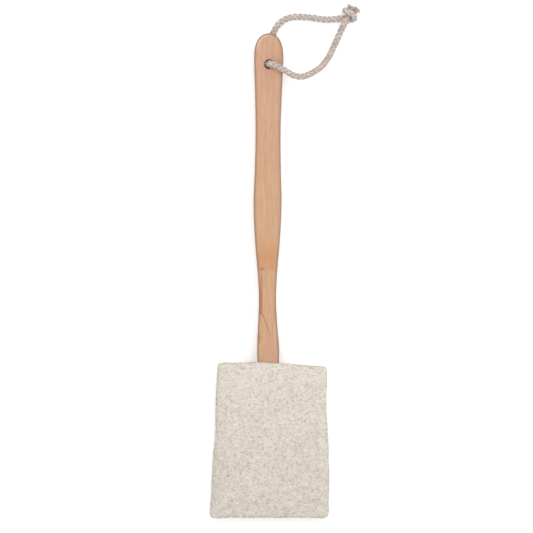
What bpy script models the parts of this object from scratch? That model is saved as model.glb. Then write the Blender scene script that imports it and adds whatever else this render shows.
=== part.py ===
"""Loofah back scrubber: a flat beech handle, a padded loofah head and a hanging cord.

Metres, +Z up. The scrubber lies flat on its back: +Y runs from the head to the handle's
tip, and +Z out of its front face. The origin is under the middle of the rigid part, on
the surface that it lies on.
"""

import math

import bmesh
import bpy
from mathutils import Vector

# Driving dimensions
LENGTH = 0.430
HANDLE_THICKNESS = 0.010
HEAD_THICKNESS = 0.026
GAP = 0.0003  # between pieces that touch

TIP_Y = LENGTH / 2
FOOT_Y = -LENGTH / 2
MIDDLE_Z = HEAD_THICKNESS / 2
HANDLE_BOTTOM = MIDDLE_Z - HANDLE_THICKNESS / 2
HANDLE_TOP = MIDDLE_Z + HANDLE_THICKNESS / 2

# Handle
# Below the widest place: (y, half width, x of the centre line)
HANDLE_STATIONS = (
    (0.191, 0.01300, -0.0006),
    (0.159, 0.01180, -0.0009),
    (0.127, 0.01110, -0.0012),
    (0.095, 0.01155, -0.0014),
    (0.063, 0.01245, -0.0017),
    (0.031, 0.01100, -0.0018),
    (0.000, 0.00845, -0.0018),
    (-0.022, 0.00760, -0.0017),
    (-0.043, 0.00855, -0.0016),
    (-0.064, 0.00975, -0.0012),
    (-0.079, 0.00940, -0.0010),
    (-0.105, 0.00880, -0.0010),
    (-0.150, 0.00850, -0.0010),
)
TIP_POWERS = (3.2, 2.5)  # of the rounded end, a superellipse from the widest place to the tip
HANDLE_EDGE_RADIUS = 0.0018
HOLE = Vector((-0.0004, 0.1877))
HOLE_RADIUS = 0.0044
HOLE_CHAMFER = 0.0008

# Head
HEAD_CORNERS = (  # anticlockwise from above
    (-0.0532, FOOT_Y),
    (0.0532, FOOT_Y),
    (0.0516, -0.0811),
    (-0.0461, -0.0771),
)
HEAD_CORNER_RADIUS = 0.0055
LEAST_CORNER_RADIUS = 0.0008  # where an inset has used up the corner's own radius
HEAD_EDGE_RADIUS = 0.0075
COVER_WALL = 0.0025
SEAM_CHAMFER = 0.0011
THREAD_RADIUS = 0.0005
THREAD_INSET = 0.00005
THREAD_ENDS_CLEAR = 0.0035  # from the handle's sides
CORNER_STEPS = 4
MOUTH_Y = -0.079  # where the handle goes into the head
MOUTH_DEPTH = 0.016

# Core board and its screws
BOARD_THICKNESS = 0.003
BOARD_INSET = 0.0055
BOARD_CORNER_RADIUS = 0.008
SLOT_TOP_Y = -0.0835
SCREW_YS = (-0.103, -0.135)
SCREW_HEAD_RADIUS = 0.0028
SCREW_SHANK_RADIUS = 0.0015
SCREW_LENGTH = 0.0088
SCREW_RIM = 0.0003
SCREW_POINT = 0.0012
SCREW_SUNK = 0.0001  # below the handle's face
RECESS_REACH = 0.0017
RECESS_HALF_WIDTH = 0.00035
RECESS_DEPTH = 0.0012

# Hanging cord
CORD_RADIUS = 0.00275
CORD_STEP = 0.0065
KNOT_CENTRE = Vector((0.0722, 0.2321, 0.0060))
KNOT_RADII = Vector((0.0062, 0.0056, 0.0056))
# Each strand's route from the middle of the hole to the knot: x and y from the hole, and z
FRONT_ROUTE = (
    (0.0000, 0.0000, 0.01315),
    (0.0000, 0.0000, 0.0152),
    (0.0000, 0.0000, 0.0172),
    (0.0016, -0.0006, 0.0214),
    (0.0056, -0.0022, 0.0231),
    (0.0130, -0.0060, 0.0226),
    (0.0214, -0.0104, 0.0218),
    (0.0272, -0.0118, 0.0211),
    (0.0328, -0.0102, 0.0188),
    (0.0405, -0.0062, 0.0135),
    (0.0473, -0.0010, 0.0082),
    (0.0530, 0.0068, 0.0042),
    (0.0571, 0.0150, 0.0030),
    (0.0612, 0.0240, 0.0046),
    (0.0650, 0.0322, 0.0070),
    (0.0685, 0.0389, 0.0086),
)
BACK_ROUTE = (
    (0.0000, 0.0000, 0.01285),
    (0.0000, 0.0000, 0.0106),
    (0.0000, 0.0000, 0.0084),
    (0.0002, 0.0016, 0.0044),
    (0.0006, 0.0056, 0.0029),
    (0.0018, 0.0150, 0.0029),
    (0.0034, 0.0270, 0.0029),
    (0.0094, 0.0372, 0.0029),
    (0.0200, 0.0426, 0.0029),
    (0.0360, 0.0424, 0.0029),
    (0.0500, 0.0405, 0.0029),
    (0.0600, 0.0411, 0.0029),
    (0.0661, 0.0424, 0.0031),
)
FRONT_TAIL = ((0.0715, 0.0504, 0.0068), (0.0711, 0.0535, 0.0074))
BACK_TAIL = ((0.0778, 0.0479, 0.0052), (0.0803, 0.0496, 0.0048))

MATERIALS = {  # colour, roughness, metallic
    "beech": ((0.66, 0.38, 0.25), 0.45, 0.0),
    "plywood": ((0.58, 0.42, 0.28), 0.60, 0.0),
    "screw_steel": ((0.62, 0.61, 0.58), 0.35, 1.0),
    "foam": ((0.80, 0.76, 0.62), 0.90, 0.0),
    "loofah": ((0.69, 0.64, 0.56), 0.95, 0.0),
    "thread": ((0.62, 0.57, 0.48), 0.85, 0.0),
    "cotton_cord": ((0.56, 0.49, 0.42), 0.90, 0.0),
}


def clear_scene():
    for found in list(bpy.data.objects):
        bpy.data.objects.remove(found, do_unlink=True)


def material(name):
    found = bpy.data.materials.get(name)
    if found:
        return found
    colour, roughness, metallic = MATERIALS[name]
    made = bpy.data.materials.new(name)
    made.use_nodes = True
    shader = made.node_tree.nodes["Principled BSDF"]
    shader.inputs["Base Color"].default_value = (*colour, 1.0)
    shader.inputs["Roughness"].default_value = roughness
    shader.inputs["Metallic"].default_value = metallic
    return made


def place(name, data, material_name, parent=None):
    """Link an object made in world coordinates, and keep it where it is under its parent."""
    made = bpy.data.objects.new(name, data)
    bpy.context.collection.objects.link(made)
    if material_name:
        data.materials.append(material(material_name))
    if parent:
        made.parent = parent
        made.matrix_parent_inverse = parent.matrix_world.inverted()
    return made


def mesh_of(name, bm, smooth_below=35):
    bmesh.ops.recalc_face_normals(bm, faces=bm.faces)
    mesh = bpy.data.meshes.new(name)
    bm.to_mesh(mesh)
    bm.free()
    mesh.shade_smooth()
    mesh.set_sharp_from_angle(angle=math.radians(smooth_below))
    return mesh


def cut(target, cutter):
    cutter.hide_render = True
    cutter.display_type = "WIRE"
    boolean = target.modifiers.new(cutter.name, "BOOLEAN")
    boolean.operation = "DIFFERENCE"
    boolean.object = cutter


def inset_outline(outline, inset):
    """Move each point of an anticlockwise outline inwards, square to its neighbours."""
    moved = []
    for i, point in enumerate(outline):
        along = (outline[(i + 1) % len(outline)] - outline[i - 1]).normalized()
        moved.append(point + inset * Vector((-along.y, along.x)))
    return moved


def layered(name, outline_at, layers):
    """A closed solid through the outlines outline_at(inset): layers are (inset, z), upwards."""
    bm = bmesh.new()
    rings = []
    for inset, z in layers:
        rings.append([bm.verts.new((p.x, p.y, z)) for p in outline_at(inset)])
    count = len(rings[0])
    for lower, upper in zip(rings, rings[1:]):
        for i in range(count):
            j = (i + 1) % count
            bm.faces.new((lower[i], lower[j], upper[j], upper[i]))
    bm.faces.new(rings[0])
    bm.faces.new(rings[-1])
    return mesh_of(name, bm)


def rounded_edge(radius, z_edge, direction, steps=4):
    """Layers of a quarter round that ends at the flat face z_edge; direction is +1 for up."""
    angles = [math.pi / 2 * k / steps for k in range(steps + 1)]
    return [
        (radius * (1 - math.cos(a)), z_edge - direction * radius * (1 - math.sin(a)))
        for a in angles
    ]


def box(name, low, high):
    bm = bmesh.new()
    bmesh.ops.create_cube(bm, size=1.0)
    for vert in bm.verts:
        vert.co = [l + (c + 0.5) * (h - l) for l, h, c in zip(low, high, vert.co)]
    return mesh_of(name, bm)


def turned(name, profile, sides=24):
    """A solid turned about Z from an (r, z) profile that runs from the axis to the axis."""
    bm = bmesh.new()
    points = [bm.verts.new((r, 0, z)) for r, z in profile]
    edges = [bm.edges.new(pair) for pair in zip(points, points[1:])]
    bmesh.ops.spin(
        bm,
        geom=points + edges,
        cent=(0, 0, 0),
        axis=(0, 0, 1),
        angle=2 * math.pi,
        steps=sides,
        use_merge=True,
    )
    bmesh.ops.remove_doubles(bm, verts=bm.verts, dist=1e-6)
    return mesh_of(name, bm)


def smooth_value(stations, y):
    """Read (y, value, ...) stations, listed downwards in y, on a smooth curve through them."""
    last = len(stations) - 1
    i = next((k for k in range(last) if y >= stations[k + 1][0]), last - 1)
    before, a = stations[max(i - 1, 0)], stations[i]
    b, after = stations[i + 1], stations[min(i + 2, last)]
    span = b[0] - a[0]
    t = (y - a[0]) / span
    values = []
    for k in range(1, len(a)):
        slope_a = (b[k] - before[k]) / (b[0] - before[0]) * span
        slope_b = (after[k] - a[k]) / (after[0] - a[0]) * span
        values.append(
            a[k] * (2 * t**3 - 3 * t**2 + 1)
            + slope_a * (t**3 - 2 * t**2 + t)
            + b[k] * (3 * t**2 - 2 * t**3)
            + slope_b * (t**3 - t**2)
        )
    return values


def handle_at(y):
    """The handle's half width and centre at y."""
    widest_y, widest, centre = HANDLE_STATIONS[0]
    if y <= widest_y:
        return smooth_value(HANDLE_STATIONS, y)
    along, across = TIP_POWERS
    reach = (y - widest_y) / (TIP_Y - widest_y)
    return widest * max(1 - reach**along, 0) ** (1 / across), centre


def handle_outline():
    """Anticlockwise, from the tang's end up the right side, round the tip and down the left."""
    widest_y, end_y = HANDLE_STATIONS[0][0], HANDLE_STATIONS[-1][0]
    side_steps, tip_steps = 34, 9
    ys = [end_y + (widest_y - end_y) * k / side_steps for k in range(side_steps)]
    tip = [math.sin(math.pi / 2 * k / tip_steps) for k in range(tip_steps)]
    ys += [widest_y + (TIP_Y - widest_y) * reach for reach in tip]
    right, left = [], []
    for y in ys:
        half_width, centre = handle_at(y)
        right.append(Vector((centre + half_width, y)))
        left.append(Vector((centre - half_width, y)))
    return right + [Vector((HANDLE_STATIONS[0][2], TIP_Y))] + left[::-1]


def corner_frames(corners):
    """For each corner of a convex polygon: the corner, its two edges' directions, half its angle."""
    corners = [Vector(c) for c in corners]
    for i, corner in enumerate(corners):
        back = (corners[i - 1] - corner).normalized()
        ahead = (corners[(i + 1) % len(corners)] - corner).normalized()
        yield corner, back, ahead, back.angle(ahead) / 2


def shrunk(corners, inset):
    """The corners of a convex polygon whose every edge is moved in by inset."""
    return [
        corner + (back + ahead).normalized() * inset / math.sin(half_angle)
        for corner, back, ahead, half_angle in corner_frames(corners)
    ]


def rounded_corners(corners, radius, steps=CORNER_STEPS):
    """An outline with an arc in place of each corner of a convex polygon."""
    outline = []
    for corner, back, ahead, half_angle in corner_frames(corners):
        centre = corner + (back + ahead).normalized() * radius / math.sin(half_angle)
        start = (corner + back * radius / math.tan(half_angle) - centre).normalized()
        end = (corner + ahead * radius / math.tan(half_angle) - centre).normalized()
        arc = [start.slerp(end, k / steps) for k in range(steps + 1)]
        outline += [centre + radius * spoke for spoke in arc]
    return outline


def head_outline(inset=0.0, corner_radius=HEAD_CORNER_RADIUS):
    radius = max(corner_radius - inset, LEAST_CORNER_RADIUS)
    return rounded_corners(shrunk(HEAD_CORNERS, inset), radius)


def smooth_route(points, step):
    """Points about one step apart, closer where it bends, on a smooth curve through points."""
    points = [Vector(p) for p in points]
    read = [points[0]]
    for i in range(len(points) - 1):
        before, a = points[max(i - 1, 0)], points[i]
        b, after = points[i + 1], points[min(i + 2, len(points) - 1)]
        span = (b - a).length
        slope_a = (b - before) * span / ((b - a).length + (a - before).length)
        slope_b = (after - a) * span / ((b - a).length + (after - b).length)
        count = max(2, round(span / step))
        for k in range(1, count + 1):
            t = k / count
            read.append(
                a * (2 * t**3 - 3 * t**2 + 1)
                + slope_a * (t**3 - 2 * t**2 + t)
                + b * (3 * t**2 - 2 * t**3)
                + slope_b * (t**3 - t**2)
            )
    return read


def tube(name, points, radius, material_name, parent=None):
    """A round tube with filled ends along world points."""
    curve = bpy.data.curves.new(name, "CURVE")
    curve.dimensions = "3D"
    curve.bevel_depth = radius
    curve.bevel_resolution = 2
    curve.use_fill_caps = True
    curve.twist_mode = "MINIMUM"
    spline = curve.splines.new("POLY")
    spline.points.add(len(points) - 1)
    for target, point in zip(spline.points, points):
        target.co = (*point, 1.0)
    return place(name, curve, material_name, parent)


def from_hole(route):
    return [Vector((HOLE.x + x, HOLE.y + y, z)) for x, y, z in route]


def make_handle():
    layers = rounded_edge(HANDLE_EDGE_RADIUS, HANDLE_BOTTOM, -1)[::-1]
    layers += rounded_edge(HANDLE_EDGE_RADIUS, HANDLE_TOP, 1)
    outline = handle_outline()
    mesh = layered("handle", lambda inset: inset_outline(outline, inset), layers)
    handle = place("handle", mesh, "beech")

    beyond = 0.002
    chamfer_reach = HOLE_RADIUS + HOLE_CHAMFER + beyond  # a 45 degree cone, run on past the face
    bore = turned(
        "hole_cutter",
        (
            (0, HANDLE_BOTTOM - beyond),
            (chamfer_reach, HANDLE_BOTTOM - beyond),
            (HOLE_RADIUS, HANDLE_BOTTOM + HOLE_CHAMFER),
            (HOLE_RADIUS, HANDLE_TOP - HOLE_CHAMFER),
            (chamfer_reach, HANDLE_TOP + beyond),
            (0, HANDLE_TOP + beyond),
        ),
        sides=36,
    )
    bore_cutter = place("hole_cutter", bore, None)
    bore_cutter.location = (HOLE.x, HOLE.y, 0)
    cut(handle, bore_cutter)

    half_slot = BOARD_THICKNESS / 2 + GAP
    end_y = HANDLE_STATIONS[-1][0]
    past_sides = 2 * HANDLE_STATIONS[-1][1]
    slot = box(
        "slot_cutter",
        (-past_sides, end_y - GAP, MIDDLE_Z - half_slot),
        (past_sides, SLOT_TOP_Y, MIDDLE_Z + half_slot),
    )
    cut(handle, place("slot_cutter", slot, None))
    cut_screw_holes(handle)
    return handle


def make_core_board():
    half = BOARD_THICKNESS / 2
    layers = ((BOARD_INSET, MIDDLE_Z - half), (BOARD_INSET, MIDDLE_Z + half))
    corner_radius = BOARD_CORNER_RADIUS + BOARD_INSET
    mesh = layered("core_board", lambda inset: head_outline(inset, corner_radius), layers)
    cut_screw_holes(place("core_board", mesh, "plywood"))


def tang_centre_x():
    return HANDLE_STATIONS[-1][2]


def screw_profile(margin=0.0, above=0.0):
    """(r, z) down from the middle of the head; margin grows it and above raises its top."""
    top = HANDLE_TOP - SCREW_SUNK
    cone_depth = SCREW_HEAD_RADIUS - SCREW_SHANK_RADIUS
    return (
        (0, top + above),
        (SCREW_HEAD_RADIUS + margin, top + above),
        (SCREW_HEAD_RADIUS + margin, top - SCREW_RIM),
        (SCREW_SHANK_RADIUS + margin, top - SCREW_RIM - cone_depth),
        (SCREW_SHANK_RADIUS + margin, top - SCREW_LENGTH + SCREW_POINT),
        (0, top - SCREW_LENGTH - margin / 2),
    )


def cut_screw_holes(target):
    for i, y in enumerate(SCREW_YS, 1):
        name = f"{target.name}_screw_cutter_{i}"
        cutter = place(name, turned(name, screw_profile(GAP, above=0.002)), None)
        cutter.location = (tang_centre_x(), y, 0)
        cut(target, cutter)


def make_screws():
    top = HANDLE_TOP - SCREW_SUNK
    arms = ((RECESS_REACH, RECESS_HALF_WIDTH), (RECESS_HALF_WIDTH, RECESS_REACH))
    for name, y in zip(("screw_upper", "screw_lower"), SCREW_YS):
        screw = place(name, turned(name, screw_profile()), "screw_steel")
        screw.location = (tang_centre_x(), y, 0)
        for i, (half_x, half_y) in enumerate(arms, 1):
            cutter_name = f"{name}_recess_cutter_{i}"
            low, high = (-half_x, -half_y, top - RECESS_DEPTH), (half_x, half_y, top + 0.002)
            cutter = place(cutter_name, box(cutter_name, low, high), None)
            cutter.location = screw.location
            cut(screw, cutter)


def tang_cutter(name, side, low_y, past_middle=0.0):
    """A cutter round one half of the handle's thickness, from low_y out through the mouth."""
    half_width = handle_at(MOUTH_Y)[0] + GAP
    inner = MIDDLE_Z - side * past_middle
    outer = MIDDLE_Z + side * (HANDLE_THICKNESS / 2 + GAP)
    low = (tang_centre_x() - half_width, low_y, min(inner, outer))
    high = (tang_centre_x() + half_width, MOUTH_Y + MOUTH_DEPTH, max(inner, outer))
    return place(name, box(name, low, high), None)


def inset_by(layers, inset):
    return [(inset + more, z) for more, z in layers]


def make_foam(name, side):
    """side is +1 for the front pad and -1 for the back pad."""
    inset = COVER_WALL + GAP
    inner = MIDDLE_Z + side * (BOARD_THICKNESS / 2 + GAP)
    outer = MIDDLE_Z + side * (HEAD_THICKNESS / 2 - inset)
    layers = [(0, inner)] + rounded_edge(HEAD_EDGE_RADIUS - inset, outer, side)
    mesh = layered(name, head_outline, inset_by(layers, inset)[::side])
    foam = place(name, mesh, "foam")
    tang_end = HANDLE_STATIONS[-1][0] - GAP
    cut(foam, tang_cutter(f"{name}_tang_cutter", side, tang_end))


def make_cover(name, side):
    seam = MIDDLE_Z + side * GAP / 2
    face = MIDDLE_Z + side * HEAD_THICKNESS / 2
    layers = [(SEAM_CHAMFER, seam), (0, seam + side * (SEAM_CHAMFER - GAP / 2))]
    layers += rounded_edge(HEAD_EDGE_RADIUS, face, side)
    cover = place(name, layered(name, head_outline, layers[::side]), "loofah")

    past_middle = 0.001
    inner_face = face - side * COVER_WALL
    hollow = [(0, MIDDLE_Z - side * past_middle)]
    hollow += rounded_edge(HEAD_EDGE_RADIUS - COVER_WALL, inner_face, side)
    hollow_name = f"{name}_hollow_cutter"
    hollow_mesh = layered(hollow_name, head_outline, inset_by(hollow, COVER_WALL)[::side])
    cut(cover, place(hollow_name, hollow_mesh, None))

    mouth_end = MOUTH_Y - MOUTH_DEPTH
    cut(cover, tang_cutter(f"{name}_mouth_cutter", side, mouth_end, past_middle))


def make_seam_thread():
    """One open line round the head's edge, from one side of the handle to the other."""
    outline = head_outline(THREAD_INSET)
    left_corner = 3 * (CORNER_STEPS + 1)  # the top edge's left end, after three corners' arcs
    edge_start, edge_end = outline[left_corner], outline[left_corner - 1]
    clear = handle_at(MOUTH_Y)[0] + THREAD_ENDS_CLEAR
    ends = []
    for x in (tang_centre_x() - clear, tang_centre_x() + clear):
        share = (x - edge_start.x) / (edge_end.x - edge_start.x)
        ends.append(edge_start.lerp(edge_end, share))
    round_the_head = [ends[0], *outline[left_corner:], *outline[:left_corner], ends[1]]
    tube("seam_thread", [Vector((*p, MIDDLE_Z)) for p in round_the_head], THREAD_RADIUS, "thread")


def make_cord(swing):
    tube("cord_front", smooth_route(from_hole(FRONT_ROUTE), CORD_STEP), CORD_RADIUS,
         "cotton_cord", swing)
    tube("cord_back", smooth_route(from_hole(BACK_ROUTE), CORD_STEP), CORD_RADIUS,
         "cotton_cord", swing)
    tube("cord_tail_front", from_hole(FRONT_TAIL), CORD_RADIUS, "cotton_cord", swing)
    tube("cord_tail_back", from_hole(BACK_TAIL), CORD_RADIUS, "cotton_cord", swing)

    bm = bmesh.new()
    bmesh.ops.create_uvsphere(bm, u_segments=20, v_segments=12, radius=1.0)
    bmesh.ops.scale(bm, vec=KNOT_RADII, verts=bm.verts)
    bmesh.ops.translate(bm, vec=KNOT_CENTRE, verts=bm.verts)
    place("cord_knot", mesh_of("cord_knot", bm), "cotton_cord", swing)


def main():
    clear_scene()
    scrubber = bpy.data.objects.new("scrubber_frame", None)
    swing = bpy.data.objects.new("cord_swing_axis", None)
    for empty in (scrubber, swing):
        bpy.context.collection.objects.link(empty)
    swing.location = (HOLE.x, HOLE.y, MIDDLE_Z)
    swing.parent = scrubber
    bpy.context.view_layer.update()

    make_handle()
    make_core_board()
    make_screws()
    make_foam("foam_front", 1)
    make_foam("foam_back", -1)
    make_cover("loofah_front", 1)
    make_cover("loofah_back", -1)
    make_seam_thread()
    make_cord(swing)


main()
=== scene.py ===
"""Looks of the loofah back scrubber: beech handle, padded loofah head and braided hanging cord.

Metres, +Z up. The scrubber lies on its back with its handle along +Y, and the camera looks
straight down at it.
"""

import math
import random

import bmesh
import bpy
import numpy as np
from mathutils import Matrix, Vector, noise
from mathutils.bvhtree import BVHTree


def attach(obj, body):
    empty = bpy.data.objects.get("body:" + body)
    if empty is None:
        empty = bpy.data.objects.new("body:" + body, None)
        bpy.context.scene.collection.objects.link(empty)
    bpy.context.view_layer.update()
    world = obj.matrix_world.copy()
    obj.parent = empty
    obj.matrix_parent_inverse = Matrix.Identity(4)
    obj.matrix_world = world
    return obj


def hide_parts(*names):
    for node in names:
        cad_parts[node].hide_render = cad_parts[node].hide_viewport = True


MM = 0.001

# The part's measures, but for a tip 0.3 mm longer and a hanging hole 0.4 mm tighter
TIP_Y, FOOT_Y, MIDDLE_Z = 0.2153, -0.215, 0.013
HANDLE_BOTTOM, HANDLE_TOP = 0.008, 0.018
HANDLE_STATIONS = (  # (y, half width, x of the centre line)
    (0.191, 0.01300, -0.0006),
    (0.159, 0.01180, -0.0009),
    (0.127, 0.01110, -0.0012),
    (0.095, 0.01155, -0.0014),
    (0.063, 0.01245, -0.0017),
    (0.031, 0.01100, -0.0018),
    (0.000, 0.00845, -0.0018),
    (-0.022, 0.00760, -0.0017),
    (-0.043, 0.00855, -0.0016),
    (-0.064, 0.00975, -0.0012),
    (-0.079, 0.00940, -0.0010),
    (-0.105, 0.00880, -0.0010),
    (-0.150, 0.00850, -0.0010),
)
TIP_POWERS = (2.9, 2.1)
HOLE = Vector((-0.0004, 0.1877))
HOLE_RADIUS = 0.0040
TANG_X = -0.0010
MOUTH_HALF_WIDTH = 0.0097
BOARD_SLOT_HALF = 0.0018
SLOT_TOP_Y = -0.0835
SCREW_YS = (-0.103, -0.135)
HEAD_CORNERS = ((-0.0532, FOOT_Y), (0.0532, FOOT_Y), (0.0516, -0.0811), (-0.0461, -0.0771))
SEAM_GAP = 0.0003

# Each strand's route from inside the hole to the knot: x and y from the hole's middle, and z
FRONT_ROUTE = (
    (-0.0005, -0.0005, 0.01315),
    (-0.0002, 0.0000, 0.0152),
    (0.0003, 0.0006, 0.0172),
    (0.0016, 0.0003, 0.0200),
    (0.0050, -0.0008, 0.0216),
    (0.0130, -0.0048, 0.0215),
    (0.0214, -0.0098, 0.0216),
    (0.0272, -0.0112, 0.0215),
    (0.0328, -0.0102, 0.0193),
    (0.0405, -0.0062, 0.0135),
    (0.0473, -0.0010, 0.0082),
    (0.0530, 0.0068, 0.0044),
    (0.0571, 0.0150, 0.0034),
    (0.0612, 0.0240, 0.0046),
    (0.0650, 0.0322, 0.0070),
)
BACK_ROUTE = (
    (-0.0005, -0.0005, 0.01285),
    (-0.0007, -0.0006, 0.0106),
    (-0.0009, -0.0008, 0.0080),
    (-0.0011, -0.0003, 0.0052),
    (-0.0004, 0.0032, 0.0034),
    (0.0004, 0.0080, 0.0033),
    (0.0018, 0.0150, 0.0033),
    (0.0034, 0.0270, 0.0033),
    (0.0094, 0.0372, 0.0033),
    (0.0200, 0.0426, 0.0033),
    (0.0360, 0.0424, 0.0033),
    (0.0500, 0.0405, 0.0033),
    (0.0600, 0.0411, 0.0033),
)

# The knot, from the place where the strands cross: (along the front strand, across it to the
# right, z, rope thickness as a share of the free rope's), in millimetres
KNOT_PLACE = Vector((0.0698, 0.0418))
KNOT_ALONG = Vector((0.42, 0.908))
FRONT_KNOT = (
    (-4.6, -0.2, 8.3, 0.99),
    (-1.4, 0.0, 8.2, 0.95),
    (1.6, -0.2, 7.2, 0.88),
    (4.8, -0.8, 6.4, 0.82),
    (7.8, -1.3, 7.0, 0.94),
    (11.0, -1.3, 7.2, 1.08),
)
BACK_KNOT = (
    (-2.2, -3.6, 3.4, 0.98),
    (-1.2, -0.4, 3.1, 0.95),
    (-0.5, 2.7, 3.2, 0.95),
    (0.9, 4.9, 4.6, 0.96),
    (2.9, 5.6, 7.3, 0.97),
    (4.4, 3.2, 10.5, 0.98),
    (4.9, -0.8, 11.3, 1.02),
    (4.9, -4.3, 8.4, 0.94),
    (5.3, -4.9, 4.9, 0.84),
    (6.6, -2.9, 2.9, 0.82),
    (7.3, 0.6, 2.8, 0.84),
    (8.2, 3.3, 4.2, 0.96),
    (10.8, 4.3, 5.6, 1.08),
)


# Node materials


class Paint:
    """A node material; every method returns an output socket, and takes sockets or values."""

    def __init__(self, name):
        self.data = bpy.data.materials.new(name)
        self.data.use_nodes = True
        self.tree = self.data.node_tree
        self.tree.nodes.clear()

    def node(self, kind, settings=None, out=0, **inputs):
        made = self.tree.nodes.new("ShaderNode" + kind)
        for name, value in (settings or {}).items():
            setattr(made, name, value)
        for name, value in inputs.items():
            key = int(name[1:]) if name[1:].isdigit() else name.replace("_", " ")
            if isinstance(value, bpy.types.NodeSocket):
                self.tree.links.new(value, made.inputs[key])
            else:
                made.inputs[key].default_value = value
        return made.outputs[out] if made.outputs else None

    def place_mm(self, scale=1, shift=(0, 0, 0)):
        """The object's own coordinates in millimetres, stretched and then shifted."""
        own = self.node("TexCoord", out="Object")
        in_mm = self.node("Mapping", Vector=own, Scale=(1 / MM, 1 / MM, 1 / MM))
        stretch = scale if isinstance(scale, tuple) else (scale, scale, scale)
        return self.node("Mapping", Vector=in_mm, Scale=stretch, Location=shift)

    def axis_mm(self, axis):
        return self.node("SeparateXYZ", out=axis, Vector=self.place_mm())

    def length(self, place):
        return self.node("VectorMath", {"operation": "LENGTH"}, out=1, _0=place)

    def noise(self, place, detail=2.0, roughness=0.5, warp=0.0):
        return self.node("TexNoise", Vector=place, Scale=1.0, Detail=detail,
                         Roughness=roughness, Distortion=warp)

    def math(self, operation, a, b=0.0):
        return self.node("Math", {"operation": operation}, _0=a, _1=b)

    def times(self, a, b):
        return self.math("MULTIPLY", a, b)

    def plus(self, a, b):
        return self.math("ADD", a, b)

    def less(self, a, b):
        return self.math("SUBTRACT", a, b)

    def span(self, value, low, high, to_low=0.0, to_high=1.0, smooth=True):
        """value from low..high read on to_low..to_high, and held beyond them."""
        settings = {"interpolation_type": "SMOOTHSTEP" if smooth else "LINEAR"}
        return self.node("MapRange", settings, _0=value, _1=low, _2=high, _3=to_low, _4=to_high)

    def mix(self, share, a, b, blend="MIX"):
        settings = {"data_type": "RGBA", "blend_type": blend}
        a, b = (self._colour(c) for c in (a, b))
        return self.node("Mix", settings, out=2, _0=share, _6=a, _7=b)

    def _colour(self, c):
        return c if isinstance(c, bpy.types.NodeSocket) else (*c, 1.0)

    def attribute(self, name):
        return self.node("Attribute", {"attribute_name": name}, out="Fac")

    def bump(self, height, strength, distance, normal=None):
        more = {} if normal is None else {"Normal": normal}
        return self.node("Bump", Height=height, Strength=strength, Distance=distance, **more)

    def finish(self, colour, roughness, normal, **more):
        shader = self.node("BsdfPrincipled", Base_Color=colour, Roughness=roughness,
                           Normal=normal, **more)
        self.node("OutputMaterial", Surface=shader)
        return self.data


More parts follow.
